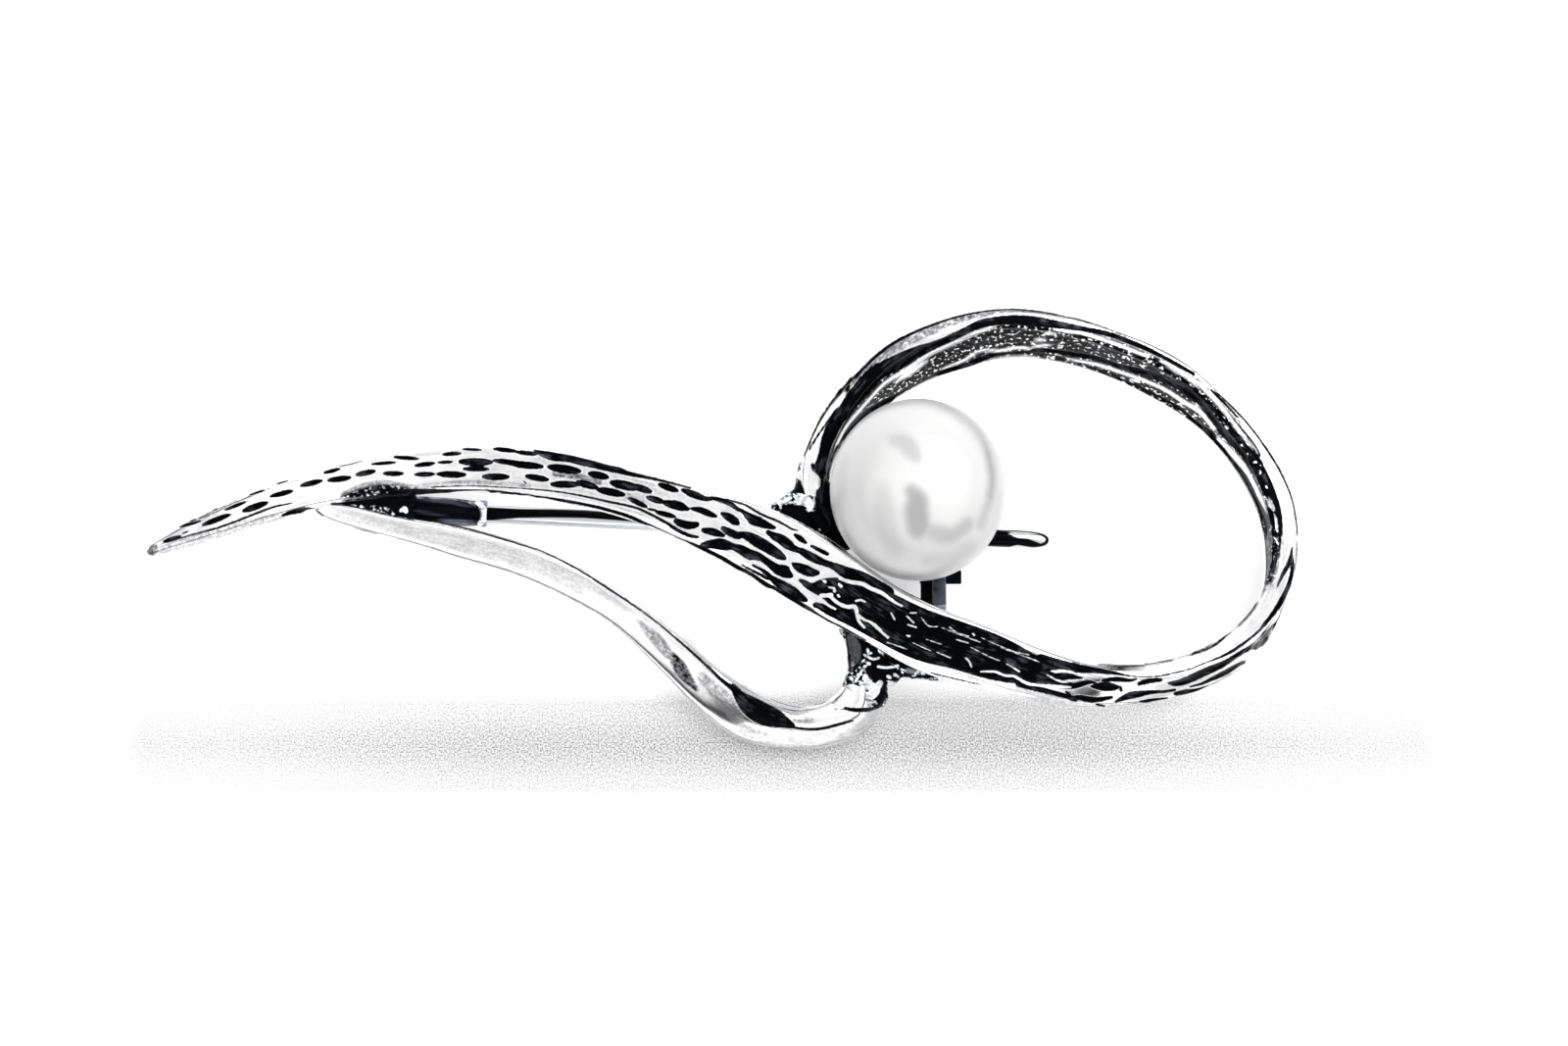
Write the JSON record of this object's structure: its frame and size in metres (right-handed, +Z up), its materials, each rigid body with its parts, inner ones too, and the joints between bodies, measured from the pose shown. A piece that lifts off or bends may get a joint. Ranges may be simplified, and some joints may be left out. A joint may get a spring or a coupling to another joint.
{
  "type": "pearl brooch",
  "caption": "Looped ribbon brooch in oxidised and polished cast silver with a pearl set in the loop and a hinged pin on the back.",
  "frame": {"origin": "under the middle of the brooch's box, on the surface that it lies on with its back down", "axes": "+X along the length from the tail to the loop, +Y across it, +Z up out of the front"},
  "size_m": [0.0646, 0.0244, 0.012],
  "materials": {
    "oxidised_silver": "polished sterling silver with black oxidised recesses",
    "pearl_nacre": "smooth nacre with a soft lustre",
    "pin_wire": "drawn and polished wire"
  },
  "bodies": {
    "brooch": {"silver_band": "oxidised_silver", "pearl": "pearl_nacre", "hinge_rivet": "pin_wire"},
    "pin": {"pin_stem": "pin_wire"}
  },
  "joints": [
    {"name": "pin_hinge", "type": "hinge", "parent": "brooch", "child": "pin", "pos_m": [-0.01667, 0.00102, 0.00126], "axis": [0.0471, 0.9989, 0], "range_deg": [0, 80]}
  ]
}
